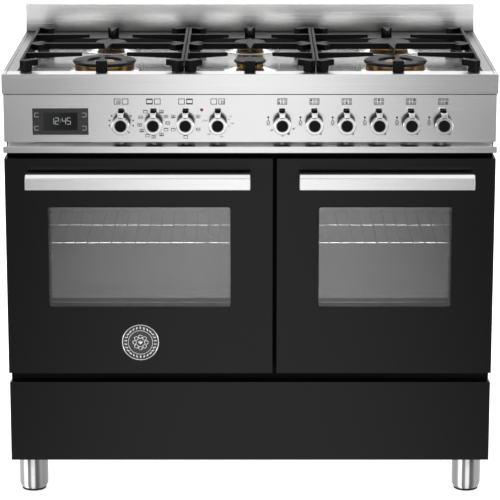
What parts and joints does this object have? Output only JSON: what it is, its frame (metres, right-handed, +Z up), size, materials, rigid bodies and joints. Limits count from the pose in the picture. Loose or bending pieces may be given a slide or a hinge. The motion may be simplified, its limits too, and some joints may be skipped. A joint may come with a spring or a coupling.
{
  "type": "range cooker",
  "caption": "Freestanding range cooker: gas hob with cast pan supports, glazed drop-down oven doors, control knobs and clock, storage flap and steel legs.",
  "frame": {"origin": "on the floor below the middle of the bounding box", "axes": "+X to the cooker's right as seen from the front, +Y to the back, +Z up"},
  "size_m": [1, 0.66, 0.95],
  "materials": {
    "brushed_steel": "brushed",
    "handle_steel": "brushed",
    "knob_metal": "satin",
    "black_enamel": "gloss",
    "dark_sheet": "satin",
    "oven_enamel": "gloss",
    "galvanised": "satin",
    "wire_chrome": "polished",
    "element_steel": "satin",
    "glass": "polished",
    "cast_iron": "matte",
    "cap_enamel": "satin",
    "burner_cast": "satin",
    "brass": "satin",
    "ceramic": "satin",
    "clock_glass": "gloss",
    "red_lens": "gloss",
    "switch_plastic": "matte",
    "seal_rubber": "matte",
    "pad_rubber": "matte"
  },
  "bodies": {
    "chassis": {"backsplash": "brushed_steel", "base_pan": "galvanised", "burner_caps": "cap_enamel", "burner_cups": "burner_cast", "burner_heads": "brass", "burner_pipes": "brass", "clock_module": "clock_glass", "control_panel": "brushed_steel", "fan_cover": "oven_enamel", "fan_motor": "galvanised", "flap_pivots": "galvanised", "front_frame": "dark_sheet", "gas_rail": "galvanised", "gas_valves": "brass", "grate_centre": "cast_iron", "grate_left": "cast_iron", "grate_right": "cast_iron", "grill_elements": "element_steel", "hinge_brackets": "galvanised", "indicator_lamp": "red_lens", "leg_pads": "pad_rubber", "legs": "brushed_steel", "oven_cavity_left": "oven_enamel", "oven_cavity_right": "oven_enamel", "oven_racks": "wire_chrome", "oven_seals": "seal_rubber", "oven_switches": "switch_plastic", "rear_panel": "galvanised", "shelf_ladders": "wire_chrome", "side_panels": "black_enamel", "spark_plugs": "ceramic", "storage_tray": "dark_sheet", "vent_trim": "brushed_steel", "worktop": "brushed_steel"},
    "door_left": {"door_left_skin": "black_enamel", "door_left_liner": "dark_sheet", "door_left_glass": "glass", "door_left_handle": "handle_steel"},
    "door_right": {"door_right_skin": "black_enamel", "door_right_liner": "dark_sheet", "door_right_glass": "glass", "door_right_handle": "handle_steel"},
    "flap": {"flap_panel": "black_enamel"},
    "fan": {"fan_rotor": "galvanised"},
    "oven_knob_1": {"oven_knob_1": "knob_metal"},
    "oven_knob_2": {"oven_knob_2": "knob_metal"},
    "oven_knob_3": {"oven_knob_3": "knob_metal"},
    "oven_knob_4": {"oven_knob_4": "knob_metal"},
    "gas_stem_1": {"gas_stem_1": "brass"},
    "gas_knob_1": {"gas_knob_1": "knob_metal"},
    "gas_stem_2": {"gas_stem_2": "brass"},
    "gas_knob_2": {"gas_knob_2": "knob_metal"},
    "gas_stem_3": {"gas_stem_3": "brass"},
    "gas_knob_3": {"gas_knob_3": "knob_metal"},
    "gas_stem_4": {"gas_stem_4": "brass"},
    "gas_knob_4": {"gas_knob_4": "knob_metal"},
    "gas_stem_5": {"gas_stem_5": "brass"},
    "gas_knob_5": {"gas_knob_5": "knob_metal"},
    "gas_stem_6": {"gas_stem_6": "brass"},
    "gas_knob_6": {"gas_knob_6": "knob_metal"}
  },
  "joints": [
    {"name": "door_left_hinge", "type": "hinge", "parent": "chassis", "child": "door_left", "pos_m": [-0.22515, -0.252, 0.283], "axis": [1, 0, 0], "range_deg": [0, 90], "stiffness_Nm_per_rad": 5, "springref_deg": -20.05},
    {"name": "door_right_hinge", "type": "hinge", "parent": "chassis", "child": "door_right", "pos_m": [0.27535, -0.252, 0.283], "axis": [1, 0, 0], "range_deg": [0, 90], "stiffness_Nm_per_rad": 5, "springref_deg": -20.05},
    {"name": "flap_hinge", "type": "hinge", "parent": "chassis", "child": "flap", "pos_m": [0, -0.26, 0.088], "axis": [1, 0, 0], "range_deg": [0, 90], "stiffness_Nm_per_rad": 1, "springref_deg": -22.92},
    {"name": "fan_spin", "type": "hinge", "parent": "chassis", "child": "fan", "pos_m": [-0.22515, 0.16, 0.485], "axis": [0, 1, 0], "continuous": true},
    {"name": "oven_knob_1_turn", "type": "hinge", "parent": "chassis", "child": "oven_knob_1", "pos_m": [-0.26, -0.28, 0.789], "axis": [0, 1, 0], "range_deg": [0, 270]},
    {"name": "oven_knob_2_turn", "type": "hinge", "parent": "chassis", "child": "oven_knob_2", "pos_m": [-0.195, -0.28, 0.789], "axis": [0, 1, 0], "continuous": true},
    {"name": "oven_knob_3_turn", "type": "hinge", "parent": "chassis", "child": "oven_knob_3", "pos_m": [-0.13, -0.28, 0.789], "axis": [0, 1, 0], "continuous": true},
    {"name": "oven_knob_4_turn", "type": "hinge", "parent": "chassis", "child": "oven_knob_4", "pos_m": [-0.065, -0.28, 0.789], "axis": [0, 1, 0], "range_deg": [0, 270]},
    {"name": "gas_tap_1_turn", "type": "hinge", "parent": "chassis", "child": "gas_stem_1", "pos_m": [0.065, -0.28, 0.789], "axis": [0, -1, 0], "range_deg": [0, 230]},
    {"name": "gas_knob_1_push", "type": "slide", "parent": "gas_stem_1", "child": "gas_knob_1", "axis": [0, 1, 0], "range_m": [0, 0.004], "stiffness_N_per_m": 600, "springref_m": -0.003},
    {"name": "gas_tap_2_turn", "type": "hinge", "parent": "chassis", "child": "gas_stem_2", "pos_m": [0.13, -0.28, 0.789], "axis": [0, -1, 0], "range_deg": [0, 230]},
    {"name": "gas_knob_2_push", "type": "slide", "parent": "gas_stem_2", "child": "gas_knob_2", "axis": [0, 1, 0], "range_m": [0, 0.004], "stiffness_N_per_m": 600, "springref_m": -0.003},
    {"name": "gas_tap_3_turn", "type": "hinge", "parent": "chassis", "child": "gas_stem_3", "pos_m": [0.195, -0.28, 0.789], "axis": [0, -1, 0], "range_deg": [0, 230]},
    {"name": "gas_knob_3_push", "type": "slide", "parent": "gas_stem_3", "child": "gas_knob_3", "axis": [0, 1, 0], "range_m": [0, 0.004], "stiffness_N_per_m": 600, "springref_m": -0.003},
    {"name": "gas_tap_4_turn", "type": "hinge", "parent": "chassis", "child": "gas_stem_4", "pos_m": [0.26, -0.28, 0.789], "axis": [0, -1, 0], "range_deg": [0, 230]},
    {"name": "gas_knob_4_push", "type": "slide", "parent": "gas_stem_4", "child": "gas_knob_4", "axis": [0, 1, 0], "range_m": [0, 0.004], "stiffness_N_per_m": 600, "springref_m": -0.003},
    {"name": "gas_tap_5_turn", "type": "hinge", "parent": "chassis", "child": "gas_stem_5", "pos_m": [0.325, -0.28, 0.789], "axis": [0, -1, 0], "range_deg": [0, 230]},
    {"name": "gas_knob_5_push", "type": "slide", "parent": "gas_stem_5", "child": "gas_knob_5", "axis": [0, 1, 0], "range_m": [0, 0.004], "stiffness_N_per_m": 600, "springref_m": -0.003},
    {"name": "gas_tap_6_turn", "type": "hinge", "parent": "chassis", "child": "gas_stem_6", "pos_m": [0.39, -0.28, 0.789], "axis": [0, -1, 0], "range_deg": [0, 230]},
    {"name": "gas_knob_6_push", "type": "slide", "parent": "gas_stem_6", "child": "gas_knob_6", "axis": [0, 1, 0], "range_m": [0, 0.004], "stiffness_N_per_m": 600, "springref_m": -0.003}
  ]
}
